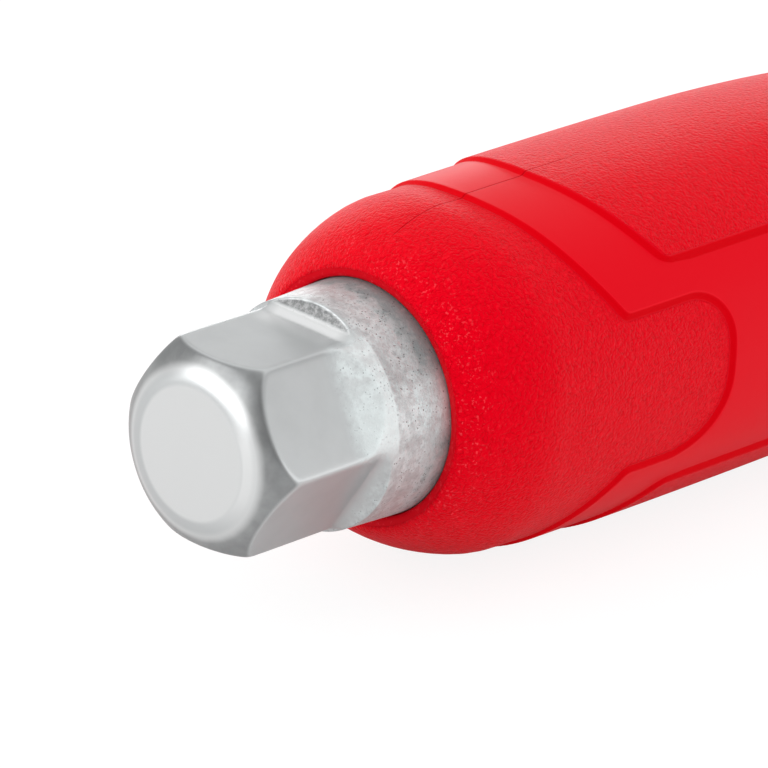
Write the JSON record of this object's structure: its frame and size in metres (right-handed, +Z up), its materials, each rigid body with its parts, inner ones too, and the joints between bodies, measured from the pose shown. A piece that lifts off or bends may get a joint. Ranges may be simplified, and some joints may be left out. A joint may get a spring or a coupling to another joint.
{
  "type": "hand impact driver",
  "caption": "Hand impact driver: a forged steel striking head with a hexagon, a moulded grip with raised panels, a square drive with bit holder, and a cross-point screw bit.",
  "frame": {"origin": "The centre of the striking face, on the tool's axis.", "axes": "+X runs along the tool's axis from the striking face to the bit, +Z is up through the grip's parting line with the tool lying on its side, and +Y completes the right-handed frame."},
  "size_m": [0.1801, 0.038, 0.0386],
  "materials": {
    "forged_steel": "satin forged steel, lightly pitted",
    "ground_steel": "ground and polished",
    "dark_steel": "black phosphate",
    "spring_steel": "oiled",
    "bronze": "turned bronze",
    "magnet_nickel": "nickel plated",
    "red_grip": "satin moulded plastic with fine-grained raised panels",
    "black_rubber": "matt"
  },
  "bodies": {
    "body": {"striking_body": "forged_steel", "grip_sleeve": "red_grip", "nose_ring": "ground_steel", "cam_sleeve": "dark_steel", "cam_dowel_1": "ground_steel", "cam_dowel_2": "ground_steel", "spring_seat": "dark_steel", "return_spring": "spring_steel", "front_bushing": "bronze", "bushing_o_ring": "black_rubber", "retaining_ring": "spring_steel", "dust_seal": "black_rubber"},
    "pusher": {"thrust_washer": "bronze"},
    "spindle": {"drive_spindle": "ground_steel", "cross_pin": "ground_steel", "bit_holder": "dark_steel", "bit_clip_ring": "spring_steel", "holder_magnet": "magnet_nickel", "detent_spring": "spring_steel"},
    "ball": {"detent_ball": "ground_steel"},
    "bit": {"screw_bit": "dark_steel"}
  },
  "joints": [
    {"name": "strike_slide", "type": "slide", "parent": "body", "child": "pusher", "axis": [-1, 0, 0], "range_m": [0, 0.008], "stiffness_N_per_m": 6000, "springref_m": -0.003, "deforming": ["return_spring"]},
    {"name": "cam_turn", "type": "hinge", "parent": "pusher", "child": "spindle", "pos_m": [0.0608, 0, 0], "axis": [1, 0, 0], "range_deg": [-15, 0]},
    {"name": "detent_ball_press", "type": "slide", "parent": "spindle", "child": "ball", "axis": [0, -1, 0], "range_m": [0, 0.0008], "stiffness_N_per_m": 2000, "springref_m": -0.0005, "deforming": ["detent_spring"]},
    {"name": "bit_pull", "type": "slide", "parent": "spindle", "child": "bit", "axis": [1, 0, 0], "range_m": [0, 0.025]}
  ],
  "couplings": [
    {"joint": "cam_turn", "follows": "strike_slide", "rad_per_m": -32.725}
  ]
}
